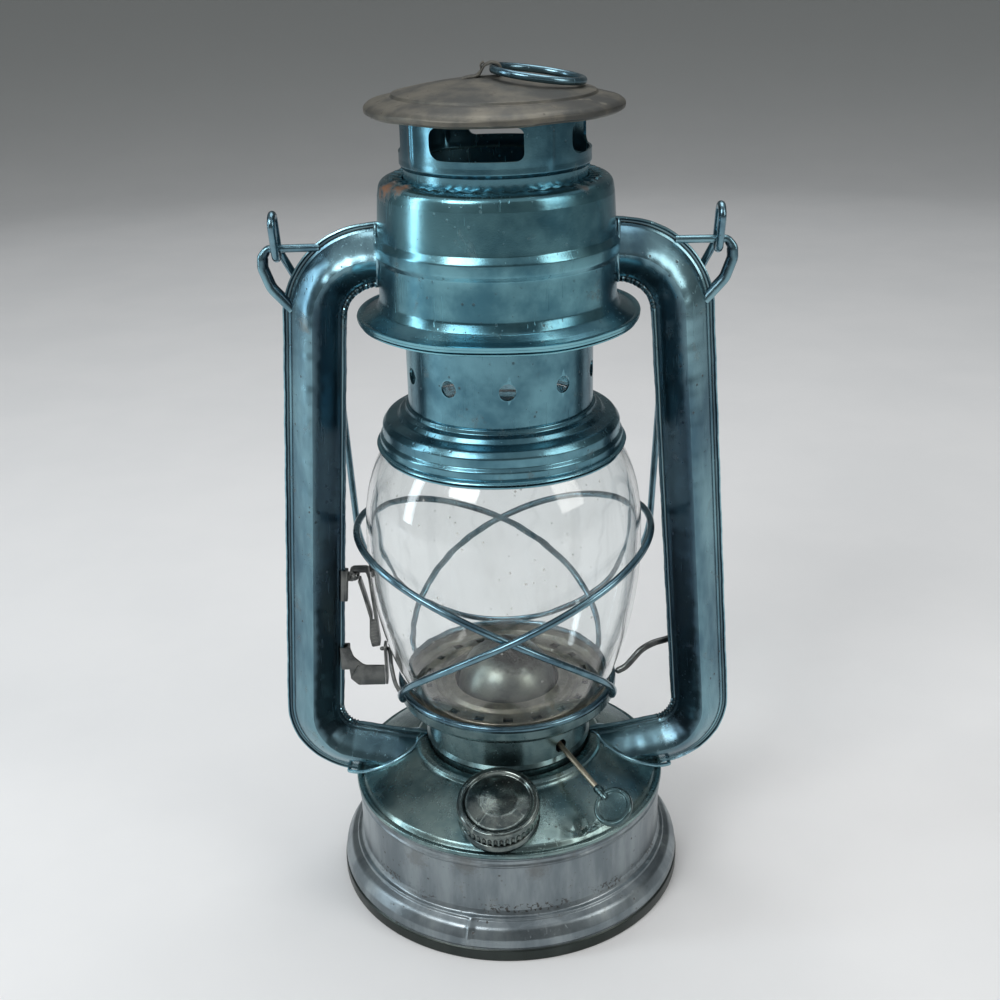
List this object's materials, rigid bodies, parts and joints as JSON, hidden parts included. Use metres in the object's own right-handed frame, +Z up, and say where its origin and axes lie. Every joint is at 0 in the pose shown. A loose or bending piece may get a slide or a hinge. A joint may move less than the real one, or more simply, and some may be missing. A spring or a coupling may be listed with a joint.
{
  "type": "hurricane lantern",
  "caption": "Tubular hurricane lantern with a flared round tank, two side tubes, a barrel globe with crossed guard wires, a sliding vented chimney and a wire bail.",
  "frame": {"origin": "centre of the foot, on the surface that it stands on", "axes": "+Z up along the lantern's axis; -Y to the front, where the filler cap is; +X to the right, the wick raiser's side"},
  "size_m": [0.1474, 0.115, 0.2644],
  "materials": {
    "tinplate": "aged tin plate, dull and spotted",
    "dark_tin": "weathered tin plate, dark grey-brown",
    "wire": "bare steel wire, dull",
    "burner_tin": "dull tin plate, sooty at the flame",
    "globe_glass": "clear glass",
    "cotton": "woven cotton wick, charred at the top",
    "cork": "brown sealing disc"
  },
  "bodies": {
    "frame": {"tank_shell": "tinplate", "tank_bottom": "tinplate", "tank_lid": "tinplate", "chamber_cover": "tinplate", "burner_collar": "tinplate", "filler_neck": "tinplate", "burner_body": "burner_tin", "burner_dome": "burner_tin", "wick_tube": "burner_tin", "shaft_bearing": "burner_tin", "tube_left_front": "tinplate", "tube_left_back": "tinplate", "tube_right_front": "tinplate", "tube_right_back": "tinplate", "ear_left": "tinplate", "ear_right": "tinplate", "canopy": "tinplate", "canopy_floor": "tinplate", "catch_clip": "dark_tin", "chimney_spring": "wire"},
    "carrier": {"gallery": "tinplate", "globe": "globe_glass", "guard_wire_a": "wire", "guard_wire_b": "wire", "guide_wire": "wire", "link_wire": "wire", "lift_bracket": "dark_tin"},
    "chimney": {"globe_plate": "tinplate", "chimney_tube": "tinplate", "spring_seat": "tinplate", "vent_neck": "tinplate", "vent_collar": "tinplate", "cap": "dark_tin", "ring_clip": "dark_tin"},
    "lifting_ring": {"lifting_ring": "wire"},
    "bail": {"bail": "wire"},
    "catch": {"catch_strip": "dark_tin"},
    "wick_raiser": {"wick_shaft": "wire", "wick_wheels": "burner_tin", "thumb_disc": "tinplate"},
    "wick": {"wick": "cotton"},
    "seal": {"filler_gasket": "cork"},
    "filler_cap": {"filler_cap": "tinplate"}
  },
  "joints": [
    {"name": "carrier_lift", "type": "slide", "parent": "frame", "child": "carrier", "axis": [0, 0, 1], "range_m": [0, 0.009], "deforming": ["chimney_spring"]},
    {"name": "chimney_lift", "type": "slide", "parent": "carrier", "child": "chimney", "axis": [0, 0, 1], "range_m": [0, 0.012], "stiffness_N_per_m": 80, "springref_m": -0.005, "deforming": ["chimney_spring"]},
    {"name": "lifting_ring_hinge", "type": "hinge", "parent": "chimney", "child": "lifting_ring", "pos_m": [0, 0, 0.2624], "axis": [0, -1, 0], "range_deg": [0, 195]},
    {"name": "bail_swing", "type": "hinge", "parent": "frame", "child": "bail", "pos_m": [0, 0, 0.2137], "axis": [1, 0, 0], "range_deg": [0, 300]},
    {"name": "catch_press", "type": "hinge", "parent": "frame", "child": "catch", "pos_m": [-0.04851, 0.0036, 0.10671], "axis": [0, 1, 0], "range_deg": [0, 6], "stiffness_Nm_per_rad": 0.02},
    {"name": "wick_raiser_turn", "type": "hinge", "parent": "frame", "child": "wick_raiser", "pos_m": [0.00297, 0.00186, 0.0611], "axis": [0.5153, -0.8246, -0.2334], "range_deg": [-90, 225]},
    {"name": "wick_slide", "type": "slide", "parent": "frame", "child": "wick", "axis": [0, 0, 1], "range_m": [-0.0099, 0.0039]},
    {"name": "seal_slide", "type": "slide", "parent": "frame", "child": "seal", "axis": [-0.0298, -0.3407, 0.9397], "range_m": [0, 0.0053]},
    {"name": "filler_cap_turn", "type": "hinge", "parent": "seal", "child": "filler_cap", "pos_m": [-0.00349, -0.03985, 0.0427], "axis": [-0.0298, -0.3407, 0.9397], "range_deg": [0, 1080]}
  ],
  "couplings": [
    {"joint": "wick_raiser_turn", "follows": "wick_slide", "rad_per_m": -395.54},
    {"joint": "seal_slide", "follows": "filler_cap_turn", "m_per_rad": 0.00027852}
  ]
}
